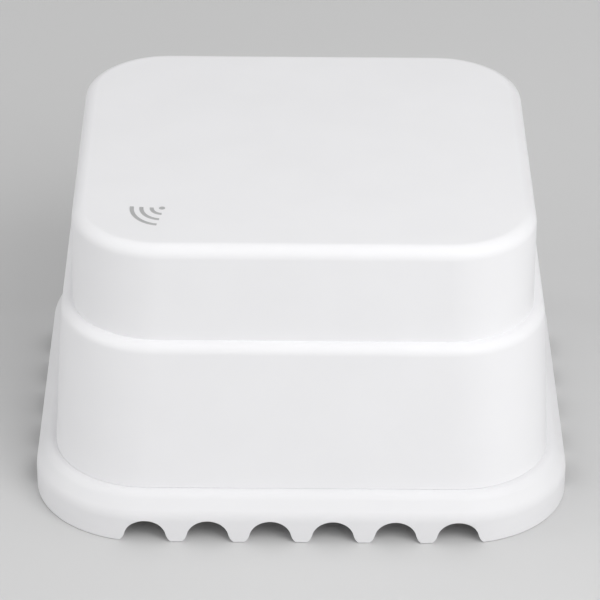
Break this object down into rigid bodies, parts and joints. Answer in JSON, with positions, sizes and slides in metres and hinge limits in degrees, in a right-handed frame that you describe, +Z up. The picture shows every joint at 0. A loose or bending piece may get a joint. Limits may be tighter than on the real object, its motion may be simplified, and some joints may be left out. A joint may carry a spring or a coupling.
{
  "type": "wireless water leak sensor",
  "caption": "Floor water leak sensor: stepped rounded white case on a flared base whose rim is cut with low arches, with a wireless symbol on the top and a battery door underneath.",
  "frame": {"origin": "middle of the footprint, on the floor plane under the skirt", "axes": "+Z up, front (the side nearest the symbol) faces -Y, +X along the longer side of the case"},
  "size_m": [0.08, 0.076, 0.0463],
  "materials": {
    "case_white": "glossy moulded",
    "signal_grey": "satin translucent",
    "clear_plastic": "clear polished",
    "seal_rubber": "matt",
    "plated_steel": "nickel plated",
    "standoff_brass": "turned",
    "probe_gold": "gold plated",
    "board_green": "solder mask",
    "black_plastic": "moulded",
    "switch_red": "moulded",
    "switch_white": "moulded",
    "button_grey": "moulded",
    "coil_copper": "enamelled wire",
    "cell_sleeve": "printed foil sleeve",
    "vent_membrane": "porous film"
  },
  "bodies": {
    "sensor": {"top_cover": "case_white", "signal_window": "signal_grey", "light_guide": "clear_plastic", "base_tray": "case_white", "case_seal": "seal_rubber", "case_screw_1": "plated_steel", "case_screw_2": "plated_steel", "case_screw_3": "plated_steel", "case_screw_4": "plated_steel", "battery_front": "cell_sleeve", "battery_rear": "cell_sleeve", "contact_link": "plated_steel", "contact_negative": "plated_steel", "contact_positive": "plated_steel", "battery_spring_front": "plated_steel", "battery_spring_rear": "plated_steel", "circuit_board": "board_green", "board_screw_1": "plated_steel", "board_screw_2": "plated_steel", "board_screw_3": "plated_steel", "board_screw_4": "plated_steel", "standoff_1": "standoff_brass", "standoff_2": "standoff_brass", "standoff_3": "standoff_brass", "standoff_4": "standoff_brass", "probe_1": "probe_gold", "probe_2": "probe_gold", "probe_3": "probe_gold", "probe_4": "probe_gold", "probe_seal_1": "seal_rubber", "probe_seal_2": "seal_rubber", "probe_seal_3": "seal_rubber", "probe_seal_4": "seal_rubber", "dip_switch_body": "switch_red", "reset_switch_frame": "black_plastic", "radio_module": "plated_steel", "controller_chip": "black_plastic", "crystal_can": "plated_steel", "antenna_coil": "coil_copper", "status_led": "clear_plastic", "storage_capacitor": "black_plastic", "boost_coil": "coil_copper", "siren_housing": "black_plastic", "siren_disc": "standoff_brass", "siren_membrane": "vent_membrane", "siren_lead_red": "switch_red", "siren_lead_black": "black_plastic"},
    "battery_door": {"battery_door": "case_white", "door_gasket": "seal_rubber", "door_screw_left": "plated_steel", "door_screw_right": "plated_steel"},
    "dip_slider_1": {"dip_slider_1": "switch_white"},
    "dip_slider_2": {"dip_slider_2": "switch_white"},
    "dip_slider_3": {"dip_slider_3": "switch_white"},
    "dip_slider_4": {"dip_slider_4": "switch_white"},
    "reset_button": {"reset_button": "button_grey"}
  },
  "joints": [
    {"name": "battery_door_lift", "type": "slide", "parent": "sensor", "child": "battery_door", "axis": [0, 0, -1], "range_m": [0, 0.016]},
    {"name": "dip_slide_1", "type": "slide", "parent": "sensor", "child": "dip_slider_1", "axis": [0, 1, 0], "range_m": [0, 0.0011]},
    {"name": "dip_slide_2", "type": "slide", "parent": "sensor", "child": "dip_slider_2", "axis": [0, 1, 0], "range_m": [0, 0.0011]},
    {"name": "dip_slide_3", "type": "slide", "parent": "sensor", "child": "dip_slider_3", "axis": [0, 1, 0], "range_m": [0, 0.0011]},
    {"name": "dip_slide_4", "type": "slide", "parent": "sensor", "child": "dip_slider_4", "axis": [0, 1, 0], "range_m": [0, 0.0011]},
    {"name": "reset_press", "type": "slide", "parent": "sensor", "child": "reset_button", "axis": [0, 0, 1], "range_m": [0, 0.00035], "stiffness_N_per_m": 400, "springref_m": -0.0001}
  ]
}
